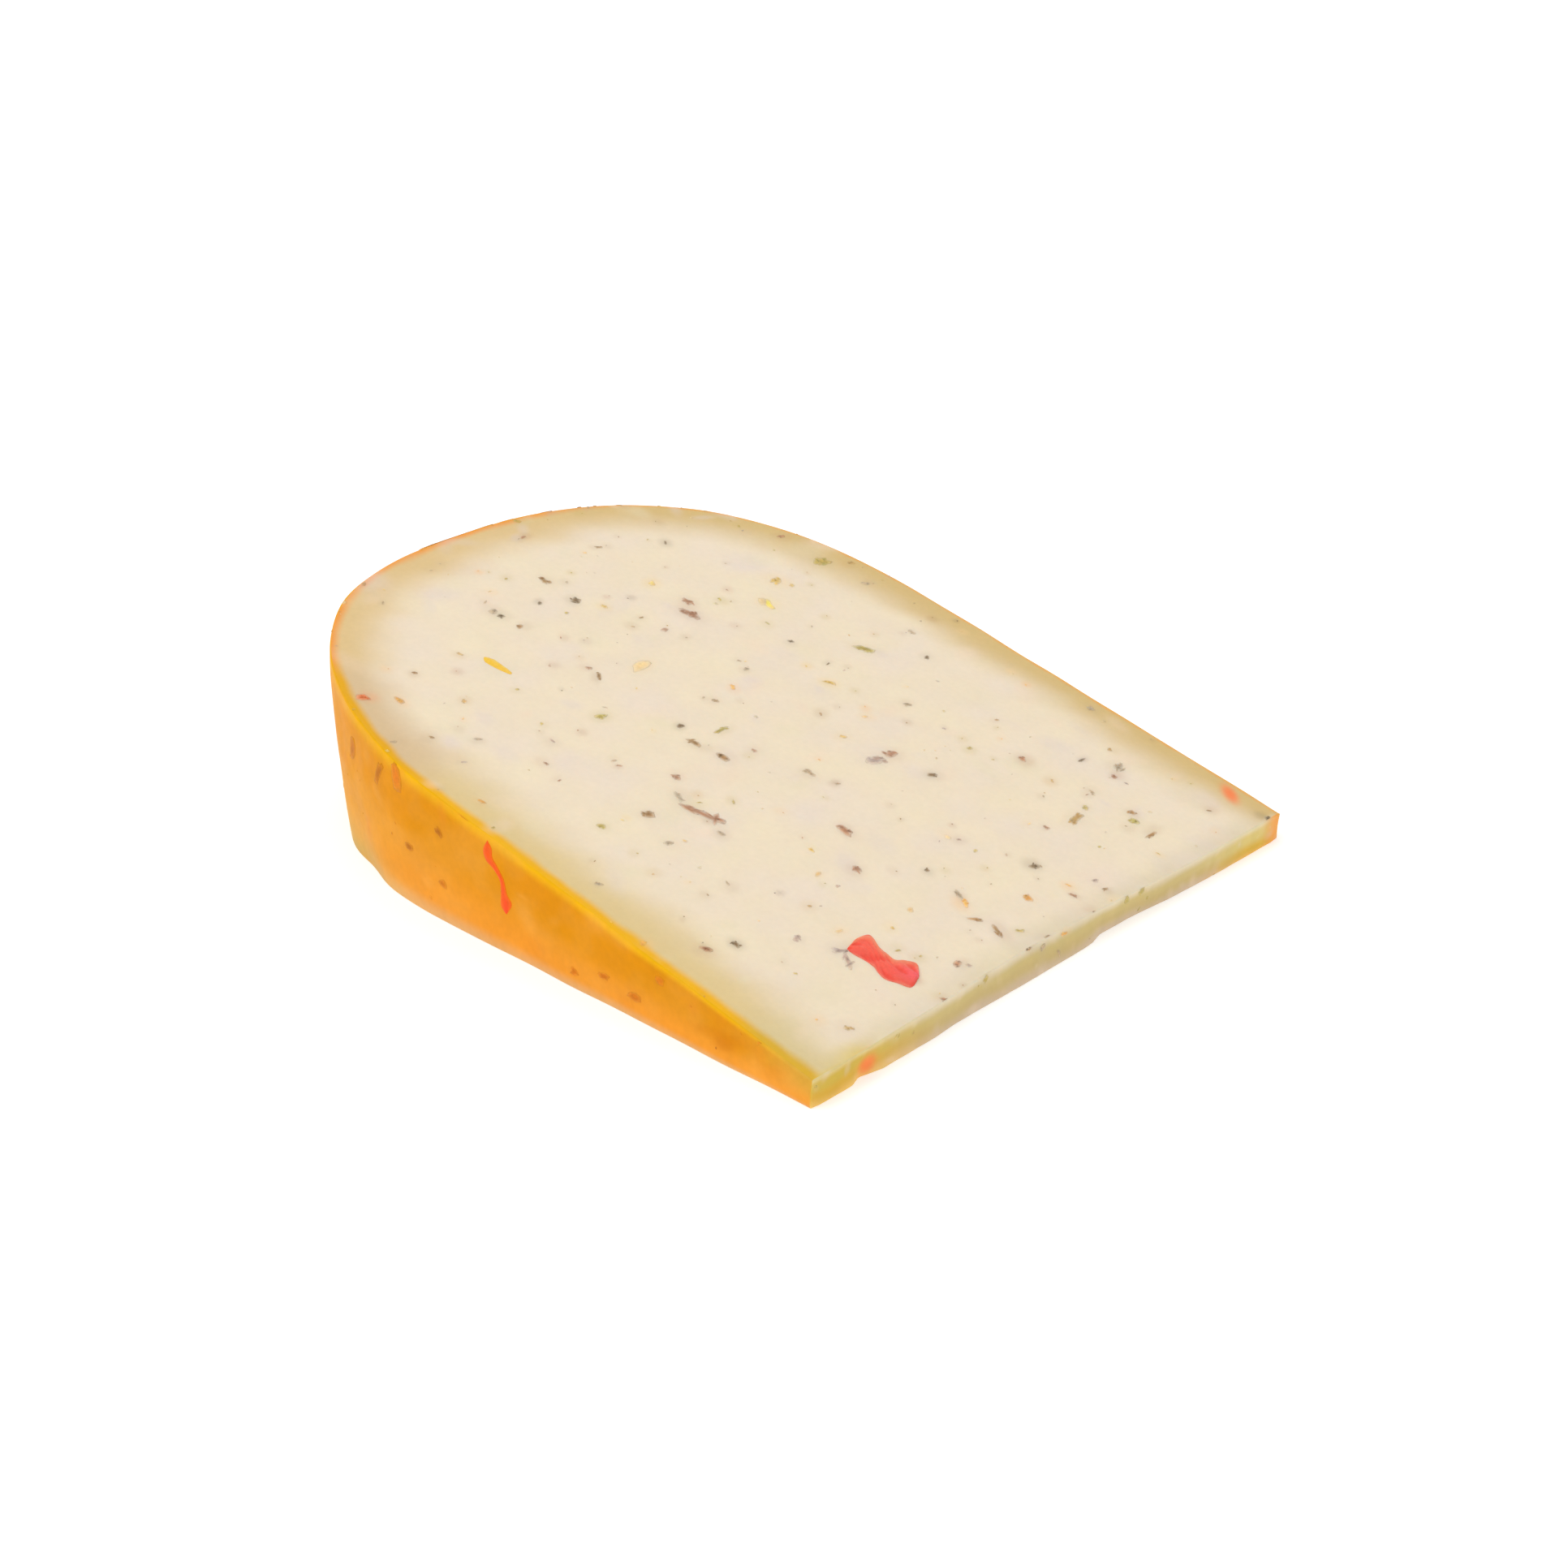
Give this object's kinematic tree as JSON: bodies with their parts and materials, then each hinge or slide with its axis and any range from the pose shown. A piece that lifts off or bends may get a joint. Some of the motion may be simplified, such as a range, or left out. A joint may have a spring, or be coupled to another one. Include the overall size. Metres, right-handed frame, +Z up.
{
  "type": "chili cheese wedge",
  "caption": "Wedge of semi-hard cheese with chili and dried herbs in the paste, an orange coated rind on its outer sides and a squared tip, lying on its cut face.",
  "frame": {"origin": "on the floor, under the middle of the wedge's box", "axes": "+X towards the thin cut tip and -X towards the rim, -Y and +Y towards the wheel's two flat sides, +Z up; the lower cut face lies on z = 0"},
  "size_m": [0.1275, 0.1066, 0.032],
  "materials": {
    "cheese_paste": "smooth, slightly moist pale cream cut cheese, yellower under the rind",
    "rind_coating": "satin orange-yellow cheese coating, slightly see-through",
    "red_chili": "moist red chili flesh",
    "dried_herb": "dull brown-green dried herb",
    "yellow_pepper": "moist orange-yellow pepper"
  },
  "bodies": {
    "root": {"cheese_wedge": "cheese_paste"}
  },
  "joints": []
}
